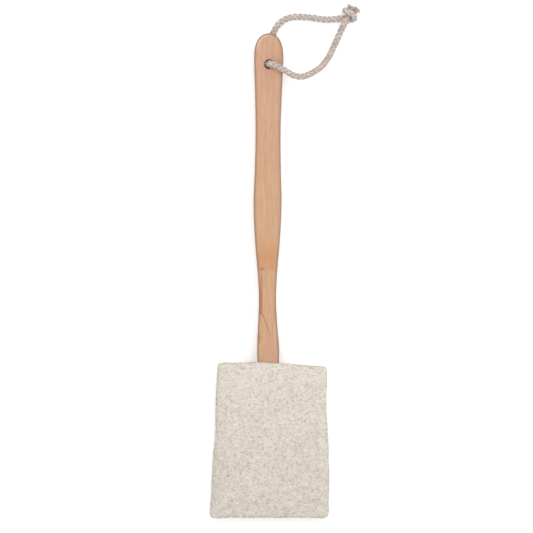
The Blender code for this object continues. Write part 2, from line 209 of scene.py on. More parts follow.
def beech_material():
    m = Paint("beech")
    x, y, z = (m.axis_mm(axis) for axis in range(3))

    # Grain that wanders a little, in streaks of pink and tan
    wander = m.noise(m.place_mm(scale=(0.05, 0.014, 0.05)))
    bent = m.plus(x, m.times(m.less(wander, 0.5), 9.0))

    def grain_place(*scale):
        return m.node("Mapping", Vector=m.node("CombineXYZ", X=bent, Y=y, Z=z), Scale=scale)

    broad = m.noise(grain_place(0.20, 0.012, 0.16), detail=3.0)
    fine = m.noise(grain_place(0.85, 0.055, 0.8), detail=4.0, roughness=0.70, warp=0.30)
    fleck = m.noise(grain_place(2.6, 0.30, 2.6))
    rings = m.node("TexWave", {"wave_type": "BANDS", "bands_direction": "X"}, out=1,
                   Vector=grain_place(0.060, 0.0022, 0.05), Scale=1.0, Distortion=4.0,
                   Detail=2.0, Detail_Scale=1.2)

    pink, tan = (0.462, 0.254, 0.178), (0.468, 0.273, 0.149)
    streak = m.plus(broad, m.times(m.span(x, 4.0, -9.0), 0.08))
    streak = m.plus(streak, m.times(m.span(y, 190.0, 50.0), 0.26))
    streak = m.less(streak, m.times(m.span(y, -40.0, -60.0), 0.20))
    wood = m.mix(m.span(streak, 0.26, 0.84), pink, tan)
    wood = m.mix(m.span(fine, 0.48, 0.72, 0.0, 0.60), wood, (0.370, 0.190, 0.112))
    wood = m.mix(m.span(fine, 0.46, 0.24, 0.0, 0.55), wood, (0.590, 0.385, 0.285))
    wood = m.mix(m.span(rings, 0.62, 0.95, 0.0, 0.24), wood, (0.400, 0.205, 0.115))
    wood = m.mix(m.span(fleck, 0.57, 0.70, 0.0, 0.42), wood, (0.330, 0.170, 0.098))

    def marked(wood, x, y, wide, high, strength, colour, turn=0.0):
        """The wood with a ragged oval mark, its middle at (x, y) on the front face."""
        placed = m.place_mm(shift=(-x, -y, -HANDLE_TOP / MM))
        placed = m.node("Mapping", Vector=placed, Scale=(1 / wide, 1 / high, 0.4),
                        Rotation=(0, 0, turn))
        reach = m.plus(m.length(placed), m.times(fine, 0.8))
        return m.mix(m.span(reach, 2.7, 1.0, 0.0, strength), wood, colour)

    # A warm figure over the neck, which ends abruptly above a small pin knot
    ragged = m.noise(m.place_mm(scale=(0.45, 0.03, 0.3)), detail=3.0)
    low_edge = m.plus(y, m.times(m.less(ragged, 0.5), 9.0))
    figure = m.times(m.span(low_edge, 3.2, 6.4), m.span(low_edge, 40.0, 16.0))
    figure = m.times(figure, m.span(x, 9.0, 3.0, 0.25, 1.0))
    blotch = m.noise(m.place_mm(scale=(0.16, 0.09, 0.16), shift=(3, 1, 0)))
    figure = m.times(figure, m.span(blotch, 0.35, 0.55, 0.55, 1.0))
    wood = m.mix(m.times(figure, 0.92), wood, (0.435, 0.213, 0.092))
    wood = marked(wood, -6.2, 6.2, 1.43, 0.83, 0.62, (0.270, 0.105, 0.045), turn=0.6)

    # A dark line down the neck's left side, which slants across it lower down, with a second pin
    # knot where it bends and a dark oval mark beside it; left of the line the neck is darkened as
    # painted shade
    slant = m.times(m.math("MINIMUM", m.plus(y, 31.8), 0.0), -0.365)
    off_line = m.less(x, m.less(slant, 6.75))
    off_line = m.plus(off_line, m.times(m.less(ragged, 0.5), 0.9))
    in_reach = m.times(m.span(y, -60.0, -44.0), m.span(y, 8.0, -4.0))
    line = m.times(m.span(m.math("ABSOLUTE", off_line), 0.95, 0.2), in_reach)
    # painted shade on the neck's left side, left of the line, where it turns from the light
    in_band = m.times(m.span(y, -36.0, -30.0), m.span(y, 6.0, -22.0))
    left = m.times(m.span(off_line, 0.5, -0.3), in_band)
    wood = m.mix(m.times(left, 0.62), wood, (0.330, 0.130, 0.055))
    wood = m.mix(m.times(line, 0.68), wood, (0.270, 0.110, 0.050))
    wood = marked(wood, -8.0, -32.9, 0.80, 0.80, 0.60, (0.240, 0.080, 0.035))
    wood = marked(wood, -9.8, -55.0, 1.50, 3.20, 0.62, (0.330, 0.140, 0.055))

    # Painted shade darkens the rounded edges, most round the tip, with a painted highlight as a
    # paler rim inside them round the tip's left, and painted shade darkens the hole's rim and its
    # bore
    edge = m.attribute("edge")
    # painted shade along the edges, weaker halfway up the sides than near the faces
    edge_shade = m.math("POWER", edge, m.span(y, 190.0, 205.0, 1.3, 1.0))
    off_middle = m.math("ABSOLUTE", m.less(z, MIDDLE_Z / MM))
    edge_shade = m.times(edge_shade, m.span(off_middle, 0.0, 3.8, 0.40, 0.88))
    wood = m.mix(edge_shade, wood, (0.155, 0.098, 0.070))
    # painted highlight: a paler band just inside the edge round the tip's left
    rim = m.times(m.span(edge, 0.0, 0.22), m.span(edge, 0.62, 0.34))
    rim = m.times(rim, m.times(m.span(y, 197.0, 206.0), m.span(x, 4.0, -4.0)))
    wood = m.mix(m.times(rim, 0.55), wood, (0.700, 0.500, 0.400))
    from_hole = m.length(m.place_mm(scale=(1, 1, 0), shift=(*(-HOLE / MM), 0)))
    # painted shade: the hole's rounded rim darkened towards the bore
    hole_rim_shade = m.span(m.plus(from_hole, m.times(fine, 0.7)), 5.6, 4.5)
    wood = m.mix(m.times(hole_rim_shade, 0.65), wood, (0.300, 0.135, 0.065))
    # painted shade: the bore's wall painted near black, for the dark inside of the hole
    bore = m.span(from_hole, 4.25, 3.95)
    wood = m.mix(m.times(bore, 0.97), wood, (0.018, 0.009, 0.006))

    rough = m.span(fine, 0.25, 0.75, 0.43, 0.58, smooth=False)
    rough = m.plus(rough, m.times(edge, -0.06))
    pores = m.noise(grain_place(6.0, 0.35, 6.0), detail=3.0)
    height = m.plus(m.times(fine, 0.5), pores)
    return m.finish(wood, rough, m.bump(height, 0.22, 0.0002), Specular_IOR_Level=0.38,
                    Coat_Weight=0.06, Coat_Roughness=0.35)


def loofah_material(name, ground):
    """Bleached luffa fibre; ground is True for the darker felted mat under the loose fibres, with
    painted shade in its pits.
    """
    m = Paint(name)
    patch = m.noise(m.place_mm(scale=(0.055, 0.045, 0.055)), detail=3.0)
    hue = m.noise(m.place_mm(scale=0.22, shift=(31, 7, 3)))
    mottle = m.noise(m.place_mm(scale=1.6), detail=3.0, roughness=0.6)
    warm, cool, pale = (0.780, 0.706, 0.640), (0.752, 0.712, 0.645), (0.872, 0.826, 0.768)
    colour = m.mix(m.span(hue, 0.35, 0.65), warm, cool)
    colour = m.mix(m.span(patch, 0.35, 0.70, 0.0, 0.20), colour, pale)
    x, y, z = (m.axis_mm(axis) for axis in range(3))
    # painted shade on the head's left side, turned from the light
    colour = m.mix(m.span(x, -38.0, -50.0, 0.0, 0.45), colour, (0.560, 0.510, 0.450))
    # painted shade: greyer towards the head's foot, as the light falls off there
    colour = m.mix(m.span(y, -85.0, -210.0, 0.0, 0.45), colour, (0.610, 0.568, 0.517))
    # painted shade on the rounded sides, darkest towards the seam
    from_seam = m.math("ABSOLUTE", m.less(z, MIDDLE_Z / MM))
    colour = m.mix(m.span(from_seam, 9.0, 3.0, 0.0, 0.50), colour, (0.430, 0.390, 0.335))
    if ground:
        mat = m.noise(m.place_mm(scale=(1.4, 3.0, 2.2)), detail=4.0, warp=1.2)
        pits = m.span(m.noise(m.place_mm(scale=1.1)), 0.38, 0.27)
        colour = m.mix(m.span(mat, 0.25, 0.70, 0.25, 0.75), colour, (0.50, 0.445, 0.373))
        # painted shade: the mat's pits darkened
        colour = m.mix(m.times(pits, 0.42), colour, (0.22, 0.180, 0.130))
        height = m.less(mat, m.times(pits, 0.6))
        return m.finish(colour, m.span(mat, 0.3, 0.7, 0.80, 0.96), m.bump(height, 0.8, 0.0004),
                        Specular_IOR_Level=0.25)
    tint = m.attribute("tint")
    colour = m.mix(m.span(tint, 0.55, 1.0, 0.0, 0.75), colour, pale)
    colour = m.mix(m.span(tint, 0.45, 0.0, 0.0, 0.72), colour, (0.430, 0.370, 0.305))
    colour = m.mix(m.span(mottle, 0.52, 0.78, 0.0, 0.45), colour, (0.560, 0.500, 0.430))
    along, around = m.attribute("along"), m.attribute("around")
    groove = m.node("CombineXYZ", X=m.times(around, 9.0),
                    Y=m.times(along, 0.5), Z=m.times(tint, 40.0))
    strands = m.noise(groove, detail=3.0, roughness=0.6)
    colour = m.mix(m.span(strands, 0.42, 0.30, 0.0, 0.25), colour, (0.56, 0.49, 0.38))
    rough = m.span(strands, 0.3, 0.7, 0.62, 0.88)
    return m.finish(colour, rough, m.bump(strands, 0.7, 0.00012), Specular_IOR_Level=0.30,
                    Sheen_Weight=0.08, Sheen_Roughness=0.5)


def yarn_material(name, main, shade, light, ply_length):
    """Twisted yarn: plies wind round each tube, with fuzz and painted shade between them, and
    painted shade in the crevices at each tube's sides.
    """
    m = Paint(name)
    along, around, tint = (m.attribute(a) for a in ("along", "around", "tint"))
    turn = m.plus(m.times(along, 2 * math.pi / ply_length),
                  m.times(around, 2 * math.pi))
    plies = m.span(m.math("SINE", turn), -1.0, 1.0, smooth=False)
    crevice = m.math("ABSOLUTE", m.math("COSINE", m.times(around, 2 * math.pi)))
    lint = m.noise(m.place_mm(scale=5.0), detail=4.0, roughness=0.7)
    soil = m.noise(m.place_mm(scale=0.16, shift=(5, 9, 2)), detail=3.0)
    colour = m.mix(m.span(tint, 0.0, 1.0), main, light)
    # painted shade in the grooves between plies
    colour = m.mix(m.span(plies, 0.30, 0.0, 0.0, 0.50), colour, shade)
    # painted shade at each tube's sides, where neighbouring yarns press together
    colour = m.mix(m.span(crevice, 0.45, 1.0, 0.0, 0.70), colour, shade)
    colour = m.mix(m.span(lint, 0.60, 0.78, 0.0, 0.35), colour, shade)
    colour = m.mix(m.span(soil, 0.45, 0.72, 0.0, 0.25), colour, shade)
    height = m.plus(plies, m.times(lint, 0.5))
    rough = m.span(lint, 0.3, 0.7, 0.78, 0.95)
    return m.finish(colour, rough, m.bump(height, 0.6, 0.00012), Specular_IOR_Level=0.22,
                    Sheen_Weight=0.10, Sheen_Roughness=0.45)


def plywood_material():
    m = Paint("plywood")
    layer = m.node("TexWave", {"wave_type": "BANDS", "bands_direction": "Z"}, out=1,
                   Vector=m.place_mm(scale=(0.0, 0.0, 0.32)), Scale=1.0, Distortion=0.0)
    grain = m.noise(m.place_mm(scale=(0.9, 0.05, 0.9)), detail=4.0)
    cross = m.noise(m.place_mm(scale=(0.05, 0.9, 0.9)), detail=4.0)
    with_grain = m.mix(m.span(grain, 0.3, 0.7), (0.60, 0.44, 0.29), (0.48, 0.33, 0.20))
    cross_grain = m.mix(m.span(cross, 0.3, 0.7), (0.50, 0.34, 0.21), (0.38, 0.25, 0.14))
    colour = m.mix(m.span(layer, 0.4, 0.6), cross_grain, with_grain)
    return m.finish(colour, m.span(grain, 0.3, 0.7, 0.55, 0.72), m.bump(grain, 0.3, 0.0002))


def foam_material():
    m = Paint("foam")
    cells = m.node("TexVoronoi", {"feature": "DISTANCE_TO_EDGE"}, Scale=1.4,
                   Vector=m.place_mm())
    aged = m.noise(m.place_mm(scale=0.05), detail=3.0)
    colour = m.mix(m.span(aged, 0.3, 0.7), (0.80, 0.76, 0.62), (0.76, 0.69, 0.50))
    colour = m.mix(m.span(cells, 0.12, 0.0, 0.0, 0.35), colour, (0.93, 0.90, 0.80))
    return m.finish(colour, m.span(cells, 0.0, 0.2, 0.85, 0.97), m.bump(cells, 0.6, 0.0003))


def steel_material():
    m = Paint("screw_steel")
    turned = m.noise(m.place_mm(scale=(9.0, 9.0, 0.6)), detail=3.0)
    dull = m.noise(m.place_mm(scale=0.9), detail=3.0)
    colour = m.mix(m.span(dull, 0.3, 0.7), (0.66, 0.65, 0.62), (0.50, 0.49, 0.46))
    rough = m.span(turned, 0.3, 0.7, 0.25, 0.45)
    return m.finish(colour, rough, m.bump(turned, 0.15, 0.00005), Metallic=1.0)


# Shapes


def link(name, mesh, material):
    made = bpy.data.objects.new(name, mesh)
    bpy.context.scene.collection.objects.link(made)
    mesh.materials.clear()
    mesh.materials.append(material)
    return made


def applied(obj):
    """Puts the object's modifiers into its mesh."""
    graph = bpy.context.evaluated_depsgraph_get()
    mesh = bpy.data.meshes.new_from_object(obj.evaluated_get(graph), depsgraph=graph)
    obj.modifiers.clear()
    old, obj.data = obj.data, mesh
    bpy.data.meshes.remove(old)
    return obj


def removed(obj):
    bpy.data.objects.remove(obj, do_unlink=True)


def mesh_of(name, bm):
    bmesh.ops.recalc_face_normals(bm, faces=bm.faces)
    mesh = bpy.data.meshes.new(name)
    bm.to_mesh(mesh)
    bm.free()
    mesh.shade_smooth()
    return mesh


def between(a, b, slope_a, slope_b, t):
    """The smooth curve from a (t = 0) to b (t = 1) with these slopes at its ends."""
    return (a * (2 * t**3 - 3 * t**2 + 1) + slope_a * (t**3 - 2 * t**2 + t)
            + b * (3 * t**2 - 2 * t**3) + slope_b * (t**3 - t**2))


def smooth_value(stations, y):
    """Read (y, value, ...) stations, listed downwards in y, on a smooth curve through them."""
    last = len(stations) - 1
    i = next((k for k in range(last) if y >= stations[k + 1][0]), last - 1)
    before, a = stations[max(i - 1, 0)], stations[i]
    b, after = stations[i + 1], stations[min(i + 2, last)]
    span = b[0] - a[0]
    t = (y - a[0]) / span
    values = []
    for k in range(1, len(a)):
        slope_a = (b[k] - before[k]) / (b[0] - before[0]) * span
        slope_b = (after[k] - a[k]) / (after[0] - a[0]) * span
        values.append(between(a[k], b[k], slope_a, slope_b, t))
    return values


def smooth_route(points):
    """Points on a smooth curve through these, as an array; rows may hold more than x, y and z."""
    points = np.array(points, float)
    read = [points[:1]]
    for i in range(len(points) - 1):
        before, a = points[max(i - 1, 0)], points[i]
        b, after = points[i + 1], points[min(i + 2, len(points) - 1)]
        span = np.linalg.norm((b - a)[:3])
        slope_a = (b - before) * span / (span + np.linalg.norm((a - before)[:3]))
        slope_b = (after - a) * span / (span + np.linalg.norm((after - b)[:3]))
        t = np.linspace(0, 1, 25)[1:, None]
        read.append(between(a, b, slope_a, slope_b, t))
    return np.concatenate(read)


def evenly(points, step):
    """The same line, with its points one step apart, and how far along it each is."""
    far = np.concatenate([[0], np.cumsum(np.linalg.norm(np.diff(points[:, :3], axis=0), axis=1))])
    along = np.linspace(0, far[-1], max(3, round(far[-1] / step)))
    return np.stack([np.interp(along, far, c) for c in points.T], axis=1), along


def unit(vectors):
    return vectors / np.maximum(np.linalg.norm(vectors, axis=-1, keepdims=True), 1e-12)


def carried_frames(line):
    """Two square directions along a line that turn with it and never spin about it."""
    tangent = unit(np.gradient(line, axis=0))
    first = np.cross(tangent[0], (0.31, 0.17, 0.94))
    across = [first / np.linalg.norm(first)]
    for t in tangent[1:]:
        moved = across[-1] - t * np.dot(across[-1], t)
        across.append(moved / np.linalg.norm(moved))
    across = np.array(across)
    return tangent, across, np.cross(tangent, across)


def strands_mesh(name, centres, outwards, half_widths, half_heights, sides, tints):
    """Many closed tubes in one mesh: centres are (strand, point, xyz), flattened along outwards.

    Each point keeps its strand's tint, how far along it lies in mm, and how far around.
    """
    count, points = centres.shape[:2]
    tangent = unit(np.gradient(centres, axis=1))
    side = unit(np.cross(tangent, outwards))
    out = np.cross(side, tangent)
    angle = 2 * math.pi * np.arange(sides) / sides
    ring = (
        centres[:, :, None]
        + side[:, :, None] * (np.cos(angle)[:, None] * half_widths[:, :, None, None])
        + out[:, :, None] * (np.sin(angle)[:, None] * half_heights[:, :, None, None])
    )
    index = np.arange(count * points * sides).reshape(count, points, sides)
    turned = np.roll(index, -1, axis=2)
    quads = np.stack([index[:, :-1], turned[:, :-1], turned[:, 1:], index[:, 1:]], axis=-1)
    faces = quads.reshape(-1, 4).tolist()
    faces += index[:, 0, ::-1].tolist() + index[:, -1].tolist()
    mesh = bpy.data.meshes.new(name)
    mesh.from_pydata(ring.reshape(-1, 3).tolist(), [], faces)
    far = np.linalg.norm(np.diff(centres, axis=1), axis=2).cumsum(axis=1) / MM
    far = np.concatenate([np.zeros((count, 1)), far], axis=1)
    shape = (count, points, sides)
    around = np.broadcast_to((np.arange(sides) / sides)[None, None], shape).copy()
    around[:, (0, -1)] = 0.25  # end caps get no painted crevice shade, like a strand's top
    if sides == 3:
        around[:] = 0.25  # and neither does all of a strand too thin to show crevice shade
    for attribute, values in (
        ("tint", np.broadcast_to(np.asarray(tints)[:, None, None], shape)),
        ("along", np.broadcast_to(far[:, :, None], shape)),
        ("around", around),
    ):
        layer = mesh.attributes.new(attribute, "FLOAT", "POINT")
        layer.data.foreach_set("value", np.ascontiguousarray(values, np.float32).ravel())
    mesh.shade_smooth()
    return mesh


def joined(name, meshes, material):
    """One object from several meshes that share their attributes."""
    parts = [link(f"{name}_{i}", mesh, material) for i, mesh in enumerate(meshes)]
    with bpy.context.temp_override(active_object=parts[0], selected_editable_objects=parts):
        bpy.ops.object.join()
    parts[0].name = name
    parts[0].data.name = name
    return parts[0]


# Camera, floor and light


def make_studio():
    scene = bpy.context.scene
    scene.view_settings.view_transform = "Standard"
    camera_data = bpy.data.cameras.new("camera")
    camera_data.lens = 304.7
    camera = bpy.data.objects.new("camera", camera_data)
    camera.location = (-0.0026, 0.0084, 4.018)
    scene.collection.objects.link(camera)
    scene.camera = camera

    world = bpy.data.worlds.new("studio")
    world.use_nodes = True
    world.node_tree.nodes["Background"].inputs["Color"].default_value = (1.0, 1.0, 1.0, 1.0)
    world.node_tree.nodes["Background"].inputs["Strength"].default_value = 1.18
    scene.world = world
    for name, place, size, watts in (
        ("overhead_softbox", (0.10, 0.50, 1.5), 0.9, 5.0),
        ("side_softbox", (0.85, 0.55, 0.85), 0.7, 1.5),
    ):
        light_data = bpy.data.lights.new(name, "AREA")
        light_data.size = size
        light_data.energy = watts
        light = bpy.data.objects.new(name, light_data)
        light.location = place
        light.rotation_euler = (-Vector(place)).to_track_quat("-Z", "Y").to_euler()
        scene.collection.objects.link(light)

    paper = Paint("paper")
    tooth = paper.noise(paper.place_mm(scale=1.5), detail=3.0)
    white = paper.mix(paper.span(tooth, 0.3, 0.7), (0.93, 0.93, 0.93), (0.90, 0.90, 0.90))
    material = paper.finish(white, 0.9, paper.bump(tooth, 0.05, 0.0001), Specular_IOR_Level=0.1,
                            Emission_Color=white, Emission_Strength=0.14)
    bm = bmesh.new()
    bmesh.ops.create_grid(bm, x_segments=1, y_segments=1, size=30.0)
    floor = link("floor", mesh_of("floor", bm), material)


# Handle


def handle_at(y):
    widest_y, widest, centre = HANDLE_STATIONS[0]
    if y <= widest_y:
        return smooth_value(HANDLE_STATIONS, y)
    along, across = TIP_POWERS
    reach = min((y - widest_y) / (TIP_Y - widest_y), 1.0)
    return widest * max(1 - reach**along, 0) ** (1 / across), centre


def handle_outline():
    """Anticlockwise, from the tang's end up the right side, round the tip and down the left."""
    widest_y, end_y = HANDLE_STATIONS[0][0], HANDLE_STATIONS[-1][0]
    side_steps, tip_steps = 170, 30
    ys = [end_y + (widest_y - end_y) * k / side_steps for k in range(side_steps)]
    tip = [math.sin(math.pi / 2 * k / tip_steps) for k in range(tip_steps)]
    ys += [widest_y + (TIP_Y - widest_y) * reach for reach in tip]
    right, left = [], []
    for y in ys:
        half_width, centre = handle_at(y)
        right.append(Vector((centre + half_width, y)))
        left.append(Vector((centre - half_width, y)))
    return right + [Vector((HANDLE_STATIONS[0][2], TIP_Y))] + left[::-1]


def turned_cutter(name, profile, x, y, sides=48):
    """A solid turned about a vertical line, from an (r, z) profile from axis to axis."""
    bm = bmesh.new()
    points = [bm.verts.new((r, 0, z)) for r, z in profile]
    edges = [bm.edges.new(pair) for pair in zip(points, points[1:])]
    bmesh.ops.spin(bm, geom=points + edges, cent=(0, 0, 0), axis=(0, 0, 1),
                   angle=2 * math.pi, steps=sides, use_merge=True)
    bmesh.ops.remove_doubles(bm, verts=bm.verts, dist=1e-6)
    bmesh.ops.translate(bm, vec=(x, y, 0), verts=bm.verts)
    return link(name, mesh_of(name, bm), bpy.data.materials["beech"])


def box_cutter(name, low, high, material):
    bm = bmesh.new()
    bmesh.ops.create_cube(bm, size=1.0)
    for vert in bm.verts:
        vert.co = [l + (c + 0.5) * (h - l) for l, h, c in zip(low, high, vert.co)]
    return link(name, mesh_of(name, bm), material)


def cut_away(target, cutters):
    for cutter in cutters:
        boolean = target.modifiers.new(cutter.name, "BOOLEAN")
        boolean.operation = "DIFFERENCE"
        boolean.solver = "EXACT"
        boolean.object = cutter
    applied(target)
    for cutter in cutters:
        removed(cutter)


def make_handle():
    """The handle with softened edges, its faces meshed in steps in from the outline."""
    outline = handle_outline()
    count = len(outline)
    inwards = []
    for i, point in enumerate(outline):
        along = (outline[(i + 1) % count] - outline[i - 1]).normalized()
        inwards.append(Vector((-along.y, along.x)))
    radius, steps = 0.0021, 7
    edge = []
    for k in range(steps + 1):
        turn = math.pi / 2 * k / steps
        edge.append((radius * (1 - math.cos(turn)), radius * (1 - math.sin(turn))))
    face = [(0.0032, 0.0), (0.0048, 0.0)]
    layers = [(inset, HANDLE_BOTTOM + up) for inset, up in edge + face][::-1]
    layers += [(inset, HANDLE_TOP - up) for inset, up in edge + face]

    bm = bmesh.new()
    rings = []
    for inset, z in layers:
        rings.append([bm.verts.new((*(p + n * inset), z)) for p, n in zip(outline, inwards)])
    for lower, upper in zip(rings, rings[1:]):
        for i in range(count):
            j = (i + 1) % count
            bm.faces.new((lower[i], lower[j], upper[j], upper[i]))
    bm.faces.new(rings[0][::-1])
    bm.faces.new(rings[-1])
    material = beech_material()
    handle = link("handle_wood", mesh_of("handle_wood", bm), material)

    beyond, lip = 0.002, 0.0011
    reach = HOLE_RADIUS + lip + beyond
    profile = [(0, HANDLE_BOTTOM - beyond), (reach, HANDLE_BOTTOM - beyond)]
    rim = []
    for k in range(6):  # a softened rim
        turn = math.pi / 2 * k / 5
        rim.append((HOLE_RADIUS + lip * (1 - math.sin(turn)), lip * (1 - math.cos(turn))))
    profile += [(reach, HANDLE_BOTTOM - 0.0002), (rim[0][0], HANDLE_BOTTOM - 0.0002)]
    profile += [(r, HANDLE_BOTTOM + up) for r, up in rim]
    profile += [(r, HANDLE_TOP - up) for r, up in rim[::-1]]
    profile += [(rim[0][0], HANDLE_TOP + 0.0002), (reach, HANDLE_TOP + 0.0002)]
    profile += [(reach, HANDLE_TOP + beyond), (0, HANDLE_TOP + beyond)]
    cutters = [turned_cutter("bore", profile, *HOLE)]
    end_y = HANDLE_STATIONS[-1][0]
    cutters.append(box_cutter("slot", (-0.02, end_y - 0.001, MIDDLE_Z - BOARD_SLOT_HALF),
                              (0.02, SLOT_TOP_Y, MIDDLE_Z + BOARD_SLOT_HALF), material))
    for i, y in enumerate(SCREW_YS):
        screw = ((0, 0.020), (0.0031, 0.020), (0.0031, 0.0176), (0.0018, 0.0163),
                 (0.0018, 0.0103), (0, 0.0087))
        cutters.append(turned_cutter(f"screw_hole_{i}", screw, TANG_X, y, sides=24))
    cut_away(handle, cutters)
    handle.data.shade_smooth()
    handle.data.set_sharp_from_angle(angle=math.radians(38))

    # How near each point is to the outline, for the painted shade along the edges
    layer = handle.data.attributes.new("edge", "FLOAT", "POINT")
    places = np.array([v.co.xy for v in handle.data.vertices])
    inset = np.linalg.norm(places[:, None] - np.array(outline)[None], axis=2).min(axis=1)
    near = np.clip(1 - inset / 0.0026, 0, 1)
    layer.data.foreach_set("value", near.astype(np.float32))
    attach(handle, "scrubber")
    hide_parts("handle")


# Cord

BRAID = {"carriers": 4, "yarns": 3, "turn_length": 0.0174, "step": 0.00055}


def knot_points(rows):
    across = Vector((KNOT_ALONG.y, -KNOT_ALONG.x))
    points = []
    for s, t, z, share in rows:
        xy = HOLE + KNOT_PLACE + KNOT_ALONG * s * MM + across * t * MM
        points.append((xy.x, xy.y, z * MM, share))
    return points


def cord_line(route, knot):
    rows = [(HOLE.x + x, HOLE.y + y, z, 1.0) for x, y, z in route] + knot_points(knot)
    return evenly(smooth_route(rows), BRAID["step"])


def braided(name, route, knot, seed):
    """A braided rope: flat carriers of yarns wind both ways and pass over and under."""
    rng = np.random.default_rng(seed)
    line, along = cord_line(route, knot)
    centre, share = line[:, :3], line[:, 3]
    length = along[-1]
    tangent, across, up = carried_frames(centre)
    opened = np.clip((along - (length - 0.0042)) / 0.0042, 0, 1)  # the braid loosens at its end
    share = share * (1 + 0.20 * opened**2)

    carriers, yarns = BRAID["carriers"], BRAID["yarns"]
    core = 0.00202
    lift = 0.00056
    centres, outs, widths, heights, tints = [], [], [], [], []
    for direction in (1, -1):
        for i in range(carriers):
            turn = 2 * math.pi * along / BRAID["turn_length"]
            crossing = 2 * i + direction * 2 * carriers * along / BRAID["turn_length"]
            over = direction * np.cos(math.pi * crossing)
            shade = rng.uniform(0, 1)
            for k in range(yarns):
                offset = (k - (yarns - 1) / 2) * 0.36
                angle = direction * turn + 2 * math.pi * i / carriers + offset
                bulge = 0.00012 * (1 - abs(k - (yarns - 1) / 2))
                loose = rng.uniform(-0.0002, 0.0005) * opened**2
                radius = (core + lift * over + bulge) * share + loose
                out = np.cos(angle)[:, None] * across + np.sin(angle)[:, None] * up
                centres.append(centre + out * radius[:, None])
                outs.append(out)
                widths.append(0.00048 * share * (1 + 0.12 * over))
                heights.append(0.00040 * share)
                tints.append(0.6 * shade + 0.4 * rng.uniform(0, 1))
    centres, outs = np.array(centres), np.array(outs)
    # Each yarn is cut at a slightly different place
    last = rng.uniform(-0.0012, 0.0002, len(centres))
    for strand, more in enumerate(last):
        kept = np.minimum(along, length + more)
        for axis in range(3):
            centres[strand, :, axis] = np.interp(kept, along, centres[strand, :, axis])
            outs[strand, :, axis] = np.interp(kept, along, outs[strand, :, axis])
        stretch = 2e-5 * np.maximum(along - kept, 0)[:, None] / 1e-3
        centres[strand] += tangent[-1] * stretch
    yarns_mesh = strands_mesh(name, centres, outs, np.array(widths), np.array(heights), 6, tints)

    cored = slice(0, -2)
    core_radius = 0.00185 * share[None, cored]
    inner = strands_mesh(name + "_core", centre[None, cored], across[None, cored], core_radius,
                         core_radius, 10, [0.8])

    # Loose fibres at the cut end
    frayed, fray_outs = [], []
    for strand in range(len(centres)):
        for _ in range(9):
            start = centres[strand, -4] + rng.normal(0, 0.00022, 3)
            lean = outs[strand, -1] * rng.uniform(-0.1, 0.75) + rng.normal(0, 0.28, 3)
            ahead = unit(tangent[-1] + lean)
            curl = rng.normal(0, 0.35, 3)
            reach = rng.uniform(0.0010, 0.0024)
            t = np.linspace(0, 1, 7)[:, None]
            frayed.append(start + ahead * reach * t + curl * reach * 0.5 * t**2)
            fray_outs.append(np.broadcast_to(outs[strand, -1], (7, 3)))
    frayed = np.array(frayed)
    frayed[:, :, 2] = np.maximum(frayed[:, :, 2], 0.0003)
    thin = np.broadcast_to(np.linspace(0.00011, 0.00006, 7), frayed.shape[:2])
    fray = strands_mesh(name + "_fray", frayed, np.array(fray_outs), thin, thin, 3,
                        rng.uniform(0.3, 1, len(frayed)))

    cord = joined(name, [yarns_mesh, inner, fray], bpy.data.materials["cotton_yarn"])
    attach(cord, "cord_loop")
    every = max(1, round(0.0022 / BRAID["step"]))
    path = np.concatenate([centre[:-1:every], centre[-1:]])
    return cord, path, length


def make_cord():
    yarn_material("cotton_yarn", (0.530, 0.458, 0.410), (0.200, 0.157, 0.133),
                  (0.680, 0.600, 0.550), 1.3)
    front, path, length = braided("cord_strand_front", FRONT_ROUTE, FRONT_KNOT, 3)
    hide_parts("cord_front", "cord_knot", "cord_tail_front")
    back, path, length = braided("cord_strand_back", BACK_ROUTE, BACK_KNOT, 4)
    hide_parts("cord_back", "cord_tail_back")


# Head

BLANK_INSET, BLANK_CORNER, BLANK_EDGE = 0.0010, 0.0012, 0.0046
BLANK_LOW, BLANK_HIGH = 0.0016, 0.0238
PUFF_CAP = 0.0019
SIDE_SHARE = 0.10  # of the swelling, sideways, where the sewn edge holds the cover in
MAT_LOWEST = 0.0010
WALL = 0.0009
FOAM_CLEAR = 0.0010
# How far the sewn edges stray from straight, at (y or x, distance)
LEFT_WAVE = ((-0.070, 0.0004), (-0.110, -0.0002), (-0.142, 0.0010), (-0.164, -0.0002),
             (-0.190, 0.0), (-0.216, 0.0002))
RIGHT_WAVE = ((-0.070, 0.0), (-0.090, -0.0004), (-0.118, -0.0012), (-0.146, 0.0), (-0.170, 0.0006),
              (-0.206, -0.0006), (-0.216, -0.0012))
TOP_WAVE = ((0.055, 0.0010), (0.046, 0.0014), (0.033, 0.0014), (0.020, 0.0020),
            (0.0086, 0.0029), (-0.0106, 0.0029), (-0.018, 0.0018), (-0.031, 0.0009),
            (-0.055, 0.0008))
CORNER_PULL = 0.0013
TOP_SIDE_Y = -0.092  # past this are only the head's top side and its edges
HEAD_MIDDLE = Vector((0.0, -0.148, MIDDLE_Z))
HEAD_HALF = (0.053, 0.067)


def head_outline(inset, corner_radius, corner_steps=6, edge_step=0.004):
    """The head's outline, anticlockwise, with points along its straight edges too."""
    corners = [Vector(c) for c in HEAD_CORNERS]
    points = []
    for i, corner in enumerate(corners):
        back = (corners[i - 1] - corner).normalized()
        ahead = (corners[(i + 1) % 4] - corner).normalized()
        half = back.angle(ahead) / 2
        middle = (back + ahead).normalized()
        centre = corner + middle * (inset + corner_radius) / math.sin(half)
        start, end = (
            (side * side.dot(middle) - middle).normalized() for side in (back, ahead)
        )
        for k in range(corner_steps + 1):
            spoke = start.lerp(end, k / corner_steps).normalized()
            points.append(centre + spoke * corner_radius)
    filled = []
    for a, b in zip(points, points[1:] + points[:1]):
        pieces = max(1, round((b - a).length / edge_step))
        filled += [a.lerp(b, k / pieces) for k in range(pieces)]
    return filled


def inwards_at(p):
    """Towards the middle of the head, across whichever of its sides p is near."""
    gaps = zip(HEAD_MIDDLE.xy - p, HEAD_HALF)
    return Vector([math.copysign(min(abs(gap) / half, 1) ** 8, gap) for gap, half in gaps])


